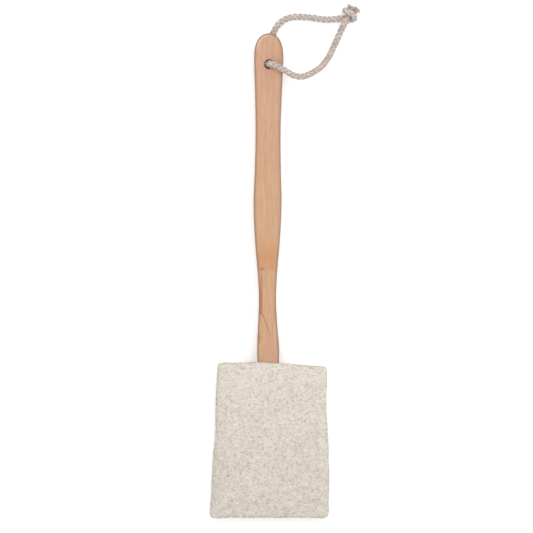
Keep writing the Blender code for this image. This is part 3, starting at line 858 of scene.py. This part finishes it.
def pad_blank():
    """The head before it is puffed up: flat faces and rounded edges."""
    layers = []
    for z_face, side in ((BLANK_LOW, -1), (BLANK_HIGH, 1)):
        quarter = []
        for k in range(5):
            turn = math.pi / 2 * k / 4
            quarter.append((BLANK_EDGE * (1 - math.cos(turn)),
                            z_face - side * BLANK_EDGE * (1 - math.sin(turn))))
        layers += quarter[::-1] if side < 0 else quarter
    outline = head_outline(BLANK_INSET, BLANK_CORNER)
    count = len(outline)
    bm = bmesh.new()
    rings = []
    for inset, z in layers:
        rings.append([bm.verts.new((*(p + inwards_at(p) * inset), z)) for p in outline])
    for lower, upper in zip(rings, rings[1:]):
        for i in range(count):
            j = (i + 1) % count
            bm.faces.new((lower[i], lower[j], upper[j], upper[i]))
    bm.faces.new(rings[0][::-1])
    bm.faces.new(rings[-1])
    return link("pad_blank", mesh_of("pad_blank", bm), bpy.data.materials["loofah_mat"])


def voxelled(obj, size):
    remesh = obj.modifiers.new("remesh", "REMESH")
    remesh.mode = "VOXEL"
    remesh.voxel_size = size
    remesh.use_smooth_shade = True
    return applied(obj)


def puffed(blank):
    """Swells the blank under pressure, as its stuffing does, each point only so far."""
    voxelled(blank, 0.0032)
    before = np.array([v.co for v in blank.data.vertices])
    scene = bpy.context.scene
    cloth = blank.modifiers.new("cloth", "CLOTH")
    cloth.settings.use_pressure = True
    cloth.settings.uniform_pressure_force = 1.5
    cloth.settings.quality = 6
    cloth.settings.effector_weights.gravity = 0.0
    for frame_number in range(1, 21):
        scene.frame_set(frame_number)
    graph = bpy.context.evaluated_depsgraph_get()
    swollen = np.array([v.co for v in blank.evaluated_get(graph).data.vertices])
    swelling = np.nan_to_num(swollen - before)
    blank.modifiers.clear()
    scene.frame_set(1)
    reach = np.linalg.norm(swelling, axis=1, keepdims=True)
    swelling *= np.minimum(1, PUFF_CAP / np.maximum(reach, 1e-9))
    placed = before + np.round(swelling, 5) * (SIDE_SHARE, SIDE_SHARE, 1)
    placed[:, 2] = np.maximum(placed[:, 2], MAT_LOWEST)
    blank.data.vertices.foreach_set("co", placed.ravel())
    blank.data.update()
    finer = blank.modifiers.new("finer", "SUBSURF")
    finer.levels = finer.render_levels = 1
    applied(blank)
    return voxelled(blank, 0.0011)


def foam_tree():
    verts, faces = [], []
    for name in ("foam_front", "foam_back"):
        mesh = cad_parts[name].data
        start = len(verts)
        verts += [v.co.copy() for v in mesh.vertices]
        faces += [tuple(start + i for i in p.vertices) for p in mesh.polygons]
    return BVHTree.FromPolygons(verts, faces)


def felted(pillow):
    """The mat's own unevenness: wavy sewn edges, lumps and pits, all outside the foam."""
    noise.seed_set(5)  # noise_vector's offsets come from the clock otherwise
    tree = foam_tree()
    moved = []
    for place, normal in [(v.co.copy(), v.normal.copy()) for v in pillow.data.vertices]:
        p = place.copy()
        left, right = smooth_value(LEFT_WAVE, p.y)[0], smooth_value(RIGHT_WAVE, p.y)[0]
        share = p.x / 0.050  # of the way out to a side
        p.x += left * max(-share, 0) ** 2 + right * max(share, 0) ** 2
        ends = (p.y - HEAD_MIDDLE.y) / HEAD_HALF[1]
        pull = CORNER_PULL * min(abs(share * ends), 1.1) ** 9 * (1 if p.y < HEAD_MIDDLE.y else 0.8)
        p += Vector((math.copysign(pull, p.x), math.copysign(pull, ends), 0))
        lift = smooth_value(TOP_WAVE, min(max(p.x, -0.054), 0.054))[0]
        p.y += lift * min(max((p.y + 0.120) / 0.040, 0), 1.1) ** 2
        p += Vector(noise.noise_vector(place * 95)) * 0.00040
        p += normal * (noise.noise(place * 190) * 0.00030)
        p += normal * (noise.fractal(place * 330, 1.0, 2.0, 3) * 0.00018)
        near, out, _, far = tree.find_nearest(p)
        if abs(near.z - MIDDLE_Z) > 0.0021:  # not the foam's inner faces, by the board
            gap = far if (p - near).dot(out) > 0 else -far
            if gap < FOAM_CLEAR:
                p = near + out * FOAM_CLEAR
        moved += (p.x, p.y, max(p.z, MAT_LOWEST - 0.0002))
    pillow.data.vertices.foreach_set("co", moved)
    pillow.data.update()


def by_mouth(p, past_y, beside, above=1.0):
    """Is p past this y, within beside of the tang's middle and within above of the seam?"""
    return p.y > past_y and abs(p.x - TANG_X) < beside and abs(p.z - MIDDLE_Z) < above


def cover_half(pillow, name, side):
    """One cover: its half of the pillow, as a wall with an opening for the handle."""
    bm = bmesh.new()
    bm.from_mesh(pillow.data)
    seam = MIDDLE_Z + side * SEAM_GAP / 2
    bmesh.ops.bisect_plane(bm, geom=bm.verts[:] + bm.edges[:] + bm.faces[:],
                           plane_co=(0, 0, seam), plane_no=(0, 0, -side), clear_outer=True)
    half = MOUTH_HALF_WIDTH + 0.0003
    lip = MIDDLE_Z + side * (HANDLE_TOP - MIDDLE_Z + 0.0004)
    for at, square in (((TANG_X - half, 0, 0), (1, 0, 0)), ((TANG_X + half, 0, 0), (1, 0, 0)),
                       ((0, 0, lip), (0, 0, 1))):
        faces = [f for f in bm.faces
                 if by_mouth(f.calc_center_median(), TOP_SIDE_Y, half + 0.003)]
        edges = dict.fromkeys(e for f in faces for e in f.edges)  # in order, unlike a set
        verts = dict.fromkeys(v for f in faces for v in f.verts)
        bmesh.ops.bisect_plane(bm, geom=faces + list(edges) + list(verts), plane_co=at,
                               plane_no=square)
    opened = [f for f in bm.faces
              if by_mouth(f.calc_center_median(), TOP_SIDE_Y, half, abs(lip - MIDDLE_Z))]
    bmesh.ops.delete(bm, geom=opened, context="FACES")
    mesh = bpy.data.meshes.new(name)
    bm.to_mesh(mesh)
    bm.free()
    cover = link(name, mesh, bpy.data.materials["loofah_mat"])
    wall = cover.modifiers.new("wall", "SOLIDIFY")
    wall.thickness = WALL
    wall.offset = -1
    applied(cover)
    cover.data.shade_smooth()
    cover.data.set_sharp_from_angle(angle=math.radians(60))
    return cover


def field_at(p, normal):
    """Which way the fibres lie at p: they swirl round soft centres a centimetre or so apart."""
    step = 0.0006

    def height(q):
        return noise.noise(q * 95) + 0.45 * noise.noise(q * 240 + Vector((7, 3, 1)))

    here = height(p)
    axes = ((1, 0, 0), (0, 1, 0), (0, 0, 1))
    slope = Vector([height(p + Vector(axis) * step) - here for axis in axes])
    way = normal.cross(slope)
    if way.length < 1e-7:
        way = normal.cross(Vector((0.3, 1, 0.2)))
    return way.normalized()


def fibre_line(tree, start, normal, length, points, rng, stray):
    """Walks along the mat from start; None where it would leave the mat."""
    heading = None
    p, n = start.copy(), normal.copy()
    step = length / (points - 1)
    line, outs = [p.copy()], [n.copy()]
    drift = rng.uniform(-0.22, 0.22)
    bias = Vector((1, rng.uniform(-0.3, 0.5), 0))
    for _ in range(points - 1):
        way = field_at(p, n)
        if heading is None:
            heading = way if rng.random() < 0.5 else -way
            if rng.random() < stray:
                turn = rng.uniform(-math.pi, math.pi)
                heading = (heading * math.cos(turn) + n.cross(heading) * math.sin(turn))
        else:
            if way.dot(heading) < 0:
                way = -way
            lean = bias if bias.dot(heading) > 0 else -bias
            heading = heading * 0.55 + way * (0.30 * (1 - stray)) + lean * 0.30
            heading += n.cross(heading) * drift * 0.25
        heading = (heading - n * heading.dot(n)).normalized()
        place, normal_there, _, far = tree.find_nearest(p + heading * step)
        if place is None or far > step or normal_there.dot(n) < 0.2:
            return None
        p, n = place, normal_there
        line.append(p.copy())
        outs.append(n.copy())
    return line, outs


def fibres(name, pillow, tree, side, count, seed):
    """Luffa fibres over one cover: they dive in and out of the mat and over one another."""
    rng = random.Random(seed)
    faces, weights, total = [], [], 0.0
    for polygon in pillow.data.polygons:
        c = polygon.center
        at_mouth = by_mouth(c, -0.0845, MOUTH_HALF_WIDTH + 0.001, 0.006)
        if (c.z - MIDDLE_Z) * side > 0.0006 and not at_mouth:
            total += polygon.area
            faces.append(polygon)
            weights.append(total)
    points = 5
    lines, outs, widths, tints = [], [], [], []
    for polygon in rng.choices(faces, cum_weights=weights, k=int(count * 1.4)):
        if len(lines) >= count:
            break
        place, normal, _, _ = tree.find_nearest(polygon.center)
        long = rng.random() < 0.04
        length = rng.uniform(0.0055, 0.0080) if long else rng.uniform(0.0019, 0.0036)
        made = fibre_line(tree, place, normal, length, points, rng, 0.5)
        if made is None:
            continue
        line, normals = made
        radius = rng.uniform(0.00019, 0.00031)
        phase, waves = rng.uniform(0, 2 * math.pi), rng.uniform(0.4, 1.1)
        base = rng.uniform(-0.0001, 0.0003)
        path = []
        for k, (p, n) in enumerate(zip(line, normals)):
            t = k / (points - 1)
            dive = -0.0007 * (2 * abs(t - 0.5)) ** 5
            rise = base + 0.00020 * math.sin(phase + waves * 2 * math.pi * t) + dive
            path.append(p + n * rise)
        crosses_seam = any((p.z - MIDDLE_Z) * side < 0.0007 for p in path)
        near_mouth = any(by_mouth(p, -0.0835, MOUTH_HALF_WIDTH + 0.0012, 0.0057) for p in path)
        if crosses_seam or near_mouth:
            continue
        for p in path:
            p.z = max(p.z, radius + 0.0001)
        lines.append(path)
        outs.append(normals)
        taper = [1 - 0.45 * (2 * abs(k / (points - 1) - 0.5)) ** 3 for k in range(points)]
        widths.append([radius * t for t in taper])
        tints.append(rng.random())
    centres = np.array([[tuple(p) for p in line] for line in lines])
    outs = np.array([[tuple(n) for n in line] for line in outs])
    widths = np.array(widths)
    mesh = strands_mesh(name, centres, outs, widths * 1.2, widths * 0.95, 3, tints)
    made = link(name, mesh, bpy.data.materials["loofah_fibre"])
    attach(made, "scrubber")


def seam_line(tree):
    """Points round the head at the seam, from one side of the mouth to the other."""
    points = []
    for p in head_outline(0.0, 0.0050, corner_steps=8, edge_step=0.0015):
        inwards = HEAD_MIDDLE - Vector((*p, MIDDLE_Z))
        place, _, _, _ = tree.ray_cast(HEAD_MIDDLE - inwards * 1.15, inwards)
        if place is not None and not by_mouth(place, -0.09, 0.0135):
            points.append(place)
    points.sort(key=lambda q: math.atan2(TANG_X - q.x, q.y - HEAD_MIDDLE.y) % (2 * math.pi))
    return np.array([tuple(q) for q in points])


def make_seam(pillow_tree):
    """Whip stitches over the seam, and the thread that runs along in it."""
    line, along = evenly(seam_line(pillow_tree), 0.0008)
    line[:, 2] = MIDDLE_Z
    tangent = unit(np.gradient(line, axis=0))
    out = np.cross(tangent, (0, 0, 1.0))
    if np.sum(out * (line - np.array(HEAD_MIDDLE))) < 0:
        out = -out
    run = line + out * 0.00005
    count = len(line)
    running = strands_mesh("seam_run", run[None], out[None], np.full((1, count), 0.00038),
                           np.full((1, count), 0.00038), 6, [0.4])
    rng = np.random.default_rng(11)
    stitches, stitch_outs, tints = [], [], []
    pitch = 0.0046
    for s in np.arange(0.002, along[-1] - 0.004, pitch):
        i = int(np.searchsorted(along, s + rng.uniform(-0.0003, 0.0003)))
        i = min(max(i, 1), count - 2)
        t, o, c = tangent[i], out[i], line[i]
        reach = 0.0023 + rng.uniform(-0.0003, 0.0003)
        path = []
        for k in range(11):
            u = k / 10 * 2 - 1
            rise = 0.00055 * (1 - abs(u) ** 3.0) - 0.0009 * abs(u) ** 8
            path.append(c + o * rise + np.array((0, 0, 1.0)) * u * reach + t * u * 0.0012
                        - o * 0.0016 * (u * u))
        stitches.append(path)
        stitch_outs.append([o] * 11)
        tints.append(rng.uniform(0, 1))
    shape = (len(stitches), 11)
    over = strands_mesh("seam_over", np.array(stitches), np.array(stitch_outs),
                        np.full(shape, 0.00036), np.full(shape, 0.00034), 6, tints)
    thread = joined("seam_stitching", [running, over], bpy.data.materials["seam_yarn"])
    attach(thread, "scrubber")
    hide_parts("seam_thread")


def make_head():
    loofah_material("loofah_mat", ground=True)
    loofah_material("loofah_fibre", ground=False)
    yarn_material("seam_yarn", (0.62, 0.57, 0.48), (0.40, 0.35, 0.27), (0.74, 0.69, 0.60), 0.9)
    pillow = puffed(pad_blank())
    felted(pillow)
    tree = BVHTree.FromPolygons([v.co.copy() for v in pillow.data.vertices],
                                [tuple(p.vertices) for p in pillow.data.polygons])
    for name, node, side, seed in (("loofah_cover_front", "loofah_front", 1, 21),
                                   ("loofah_cover_back", "loofah_back", -1, 22)):
        cover = cover_half(pillow, name, side)
        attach(cover, "scrubber")
        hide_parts(node)
        count = 16000
        fibres(name + "_fibres", pillow, tree, side, count, seed)
    make_seam(tree)
    removed(pillow)


def paint_inner_pieces():
    """The pieces inside the head keep their CAD shape."""
    for material, names in (
        (plywood_material(), ("core_board",)),
        (foam_material(), ("foam_front", "foam_back")),
        (steel_material(), ("screw_upper", "screw_lower")),
    ):
        for name in names:
            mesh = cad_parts[name].data
            mesh.materials.clear()
            mesh.materials.append(material)


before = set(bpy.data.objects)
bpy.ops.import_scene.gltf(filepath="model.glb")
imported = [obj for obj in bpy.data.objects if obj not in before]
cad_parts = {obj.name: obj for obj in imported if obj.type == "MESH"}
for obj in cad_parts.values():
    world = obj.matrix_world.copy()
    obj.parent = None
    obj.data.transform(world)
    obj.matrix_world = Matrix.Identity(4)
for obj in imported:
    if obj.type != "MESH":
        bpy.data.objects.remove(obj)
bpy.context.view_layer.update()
make_studio()
make_handle()
make_cord()
make_head()
paint_inner_pieces()
